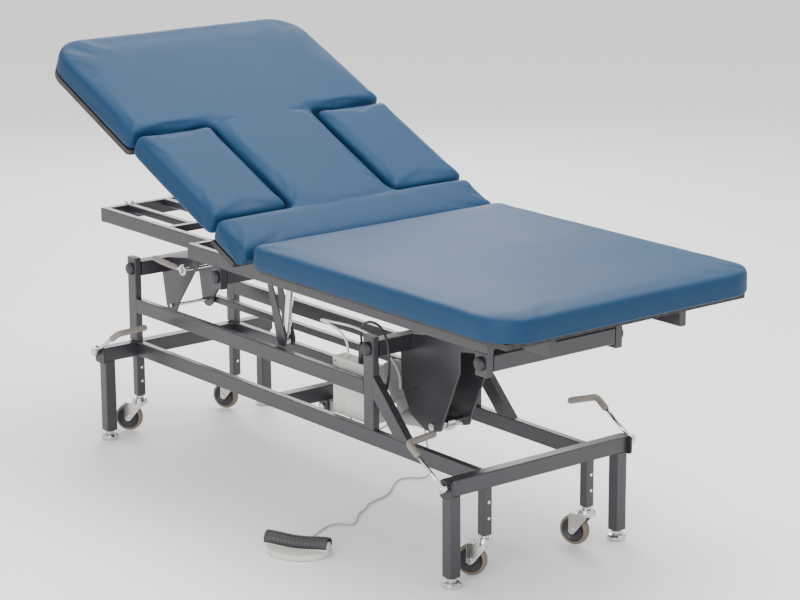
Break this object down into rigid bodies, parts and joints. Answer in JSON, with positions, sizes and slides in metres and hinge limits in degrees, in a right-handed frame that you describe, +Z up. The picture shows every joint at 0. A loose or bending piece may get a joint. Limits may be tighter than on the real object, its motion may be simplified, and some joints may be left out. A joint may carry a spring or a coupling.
{
  "type": "exam_table",
  "caption": "Padded exam table with a tilting back section and drop-down arm pads, raised by a motor-driven parallel lift on a tube frame with casters.",
  "frame": {"origin": "floor level, under the middle of the table's bounding box with the foot switch in place", "axes": "+X towards the foot end, +Y towards the far side (away from the foot switch), +Z up"},
  "size_m": [2.032, 0.8779, 1.129],
  "materials": {
    "powder_coat": "charcoal semi-gloss powder coat",
    "plated_steel": "bright zinc and chrome plate",
    "motor_housing": "satin grey paint",
    "black_moulding": "fine-textured black moulding",
    "nylon": "natural nylon",
    "grey_moulding": "light grey moulded plastic",
    "cable_jacket": "light grey cable jacket",
    "grip_rubber": "warm grey soft grip",
    "tread": "grey-brown soft tread",
    "vinyl": "blue coated-fabric upholstery",
    "plywood": "black-stained birch ply"
  },
  "bodies": {
    "base": {"lower_rails": "powder_coat", "upper_base_rails": "powder_coat", "head_beam": "powder_coat", "foot_beam": "powder_coat", "mid_beam": "powder_coat", "base_posts": "powder_coat", "base_braces": "powder_coat", "outer_legs": "powder_coat", "caster_legs": "powder_coat", "levelling_feet": "plated_steel", "lower_pivot_knobs": "black_moulding", "lower_pivot_bushes": "nylon", "lever_end_plates": "black_moulding", "control_box": "grey_moulding", "control_box_lid": "grey_moulding", "frame_screws": "plated_steel", "actuator_cables": "cable_jacket", "foot_switch_base": "grey_moulding", "switch_lead": "cable_jacket"},
    "head_crank": {"head_crank": "powder_coat"},
    "foot_crank": {"foot_crank": "powder_coat", "actuator_bolt": "plated_steel"},
    "tie_bar": {"tie_bar": "powder_coat", "tie_bar_pins": "plated_steel"},
    "upper_frame": {"upper_rails": "powder_coat", "upper_crossbars": "powder_coat", "head_extension": "powder_coat", "upper_pivot_knobs": "black_moulding", "upper_pivot_bushes": "nylon", "foot_supports": "powder_coat", "foot_board": "plywood", "foot_pad": "vinyl"},
    "actuator_body": {"actuator_body": "motor_housing", "actuator_motor": "motor_housing"},
    "actuator_rod": {"actuator_rod": "plated_steel"},
    "release_lever": {"release_lever": "plated_steel"},
    "back_section": {"back_frame": "powder_coat", "back_board": "plywood", "back_pad": "vinyl"},
    "drop_pad_near": {"drop_pad_near": "vinyl"},
    "drop_pad_far": {"drop_pad_far": "vinyl"},
    "gas_spring_body": {"gas_spring_body": "plated_steel"},
    "gas_spring_rod": {"gas_spring_rod": "plated_steel"},
    "foot_switch_pedal": {"foot_switch_pedal": "black_moulding"},
    "caster_lever_head_near": {"caster_lever_head_near": "grip_rubber"},
    "caster_post_head_near": {"caster_post_head_near": "plated_steel"},
    "caster_fork_head_near": {"caster_fork_head_near": "plated_steel"},
    "caster_wheel_head_near": {"caster_wheel_head_near": "tread"},
    "caster_lever_head_far": {"caster_lever_head_far": "grip_rubber"},
    "caster_post_head_far": {"caster_post_head_far": "plated_steel"},
    "caster_fork_head_far": {"caster_fork_head_far": "plated_steel"},
    "caster_wheel_head_far": {"caster_wheel_head_far": "tread"},
    "caster_lever_foot_near": {"caster_lever_foot_near": "grip_rubber"},
    "caster_post_foot_near": {"caster_post_foot_near": "plated_steel"},
    "caster_fork_foot_near": {"caster_fork_foot_near": "plated_steel"},
    "caster_wheel_foot_near": {"caster_wheel_foot_near": "tread"},
    "caster_lever_foot_far": {"caster_lever_foot_far": "grip_rubber"},
    "caster_post_foot_far": {"caster_post_foot_far": "plated_steel"},
    "caster_fork_foot_far": {"caster_fork_foot_far": "plated_steel"},
    "caster_wheel_foot_far": {"caster_wheel_foot_far": "tread"}
  },
  "joints": [
    {"name": "lift", "type": "hinge", "parent": "base", "child": "head_crank", "pos_m": [-0.829, 0.033, 0.47], "axis": [0, -1, 0], "range_deg": [-8.7, 31.3]},
    {"name": "foot_crank_turn", "type": "hinge", "parent": "base", "child": "foot_crank", "pos_m": [0.237, 0.033, 0.47], "axis": [0, -1, 0], "range_deg": [-8.7, 31.3]},
    {"name": "frame_level", "type": "hinge", "parent": "head_crank", "child": "upper_frame", "pos_m": [-0.358, 0.033, 0.542], "axis": [0, -1, 0], "range_deg": [-31.3, 8.7]},
    {"name": "tie_bar_level", "type": "hinge", "parent": "head_crank", "child": "tie_bar", "pos_m": [-0.798, 0.033, 0.354], "axis": [0, -1, 0], "range_deg": [-31.3, 8.7]},
    {"name": "actuator_swing", "type": "hinge", "parent": "base", "child": "actuator_body", "pos_m": [-0.144, 0.033, 0.206], "axis": [0, -1, 0], "range_deg": [-1.74, 6.26]},
    {"name": "actuator_extend", "type": "slide", "parent": "actuator_body", "child": "actuator_rod", "axis": [0.9914, 0, 0.1309], "range_m": [-0.032, 0.11]},
    {"name": "back_tilt", "type": "hinge", "parent": "upper_frame", "child": "back_section", "pos_m": [0.015, 0.033, 0.702], "axis": [0, 1, 0], "range_deg": [-24.1, 25.9]},
    {"name": "drop_near", "type": "hinge", "parent": "back_section", "child": "drop_pad_near", "pos_m": [-0.2842, -0.131, 0.79476], "axis": [0.9128, 0, -0.4083], "range_deg": [0, 40]},
    {"name": "drop_far", "type": "hinge", "parent": "back_section", "child": "drop_pad_far", "pos_m": [-0.2842, 0.197, 0.79476], "axis": [-0.9128, 0, 0.4083], "range_deg": [0, 40]},
    {"name": "gas_spring_swing", "type": "hinge", "parent": "upper_frame", "child": "gas_spring_body", "pos_m": [-0.179, -0.085, 0.395], "axis": [0, 1, 0], "range_deg": [-1.5, 1.5]},
    {"name": "gas_spring_extend", "type": "slide", "parent": "gas_spring_body", "child": "gas_spring_rod", "axis": [0.1323, 0, 0.9912], "range_m": [-0.068, 0.073]},
    {"name": "release", "type": "hinge", "parent": "upper_frame", "child": "release_lever", "pos_m": [-0.495, -0.192, 0.537], "axis": [0, 1, 0], "range_deg": [0, 12]},
    {"name": "foot_switch_rock", "type": "hinge", "parent": "base", "child": "foot_switch_pedal", "pos_m": [0.253, -0.37214, 0.034], "axis": [-0.5, 0.866, 0], "range_deg": [-4, 4]},
    {"name": "lever_head_near", "type": "hinge", "parent": "base", "child": "caster_lever_head_near", "pos_m": [-0.835, -0.246, 0.252], "axis": [0, 1, 0], "range_deg": [0, 70]},
    {"name": "lower_head_near", "type": "slide", "parent": "base", "child": "caster_post_head_near", "axis": [0, 0, -1], "range_m": [0, 0.0122]},
    {"name": "swivel_head_near", "type": "hinge", "parent": "caster_post_head_near", "child": "caster_fork_head_near", "pos_m": [-0.825, -0.1285, 0.092], "axis": [0, 0, 1], "continuous": true},
    {"name": "spin_head_near", "type": "hinge", "parent": "caster_fork_head_near", "child": "caster_wheel_head_near", "pos_m": [-0.84915, -0.14949, 0.042], "axis": [0.6561, -0.7547, 0], "continuous": true},
    {"name": "lever_head_far", "type": "hinge", "parent": "base", "child": "caster_lever_head_far", "pos_m": [-0.835, 0.312, 0.252], "axis": [0, 1, 0], "range_deg": [0, 70]},
    {"name": "lower_head_far", "type": "slide", "parent": "base", "child": "caster_post_head_far", "axis": [0, 0, -1], "range_m": [0, 0.0122]},
    {"name": "swivel_head_far", "type": "hinge", "parent": "caster_post_head_far", "child": "caster_fork_head_far", "pos_m": [-0.825, 0.1945, 0.092], "axis": [0, 0, 1], "continuous": true},
    {"name": "spin_head_far", "type": "hinge", "parent": "caster_fork_head_far", "child": "caster_wheel_head_far", "pos_m": [-0.854, 0.18098, 0.042], "axis": [0.4226, -0.9063, 0], "continuous": true},
    {"name": "lever_foot_near", "type": "hinge", "parent": "base", "child": "caster_lever_foot_near", "pos_m": [0.675, -0.246, 0.252], "axis": [0, -1, 0], "range_deg": [0, 70]},
    {"name": "lower_foot_near", "type": "slide", "parent": "base", "child": "caster_post_foot_near", "axis": [0, 0, -1], "range_m": [0, 0.0122]},
    {"name": "swivel_foot_near", "type": "hinge", "parent": "caster_post_foot_near", "child": "caster_fork_foot_near", "pos_m": [0.665, -0.1285, 0.092], "axis": [0, 0, 1], "continuous": true},
    {"name": "spin_foot_near", "type": "hinge", "parent": "caster_fork_foot_near", "child": "caster_wheel_foot_near", "pos_m": [0.63816, -0.14593, 0.042], "axis": [0.5446, -0.8387, 0], "continuous": true},
    {"name": "lever_foot_far", "type": "hinge", "parent": "base", "child": "caster_lever_foot_far", "pos_m": [0.675, 0.312, 0.252], "axis": [0, -1, 0], "range_deg": [0, 70]},
    {"name": "lower_foot_far", "type": "slide", "parent": "base", "child": "caster_post_foot_far", "axis": [0, 0, -1], "range_m": [0, 0.0122]},
    {"name": "swivel_foot_far", "type": "hinge", "parent": "caster_post_foot_far", "child": "caster_fork_foot_far", "pos_m": [0.665, 0.1945, 0.092], "axis": [0, 0, 1], "continuous": true},
    {"name": "spin_foot_far", "type": "hinge", "parent": "caster_fork_foot_far", "child": "caster_wheel_foot_far", "pos_m": [0.63457, 0.18461, 0.042], "axis": [0.309, -0.9511, 0], "continuous": true}
  ],
  "couplings": [
    {"joint": "foot_crank_turn", "follows": "lift", "ratio": 1},
    {"joint": "frame_level", "follows": "lift", "ratio": -1},
    {"joint": "tie_bar_level", "follows": "lift", "ratio": -1},
    {"joint": "actuator_swing", "follows": "lift", "ratio": 0.19377},
    {"joint": "actuator_extend", "follows": "lift", "m_per_rad": 0.19593},
    {"joint": "gas_spring_swing", "follows": "back_tilt", "ratio": -0.045},
    {"joint": "gas_spring_extend", "follows": "back_tilt", "m_per_rad": 0.15427},
    {"joint": "lower_head_near", "follows": "lever_head_near", "m_per_rad": 0.0098},
    {"joint": "lower_head_far", "follows": "lever_head_far", "m_per_rad": 0.0098},
    {"joint": "lower_foot_near", "follows": "lever_foot_near", "m_per_rad": 0.0098},
    {"joint": "lower_foot_far", "follows": "lever_foot_far", "m_per_rad": 0.0098}
  ]
}
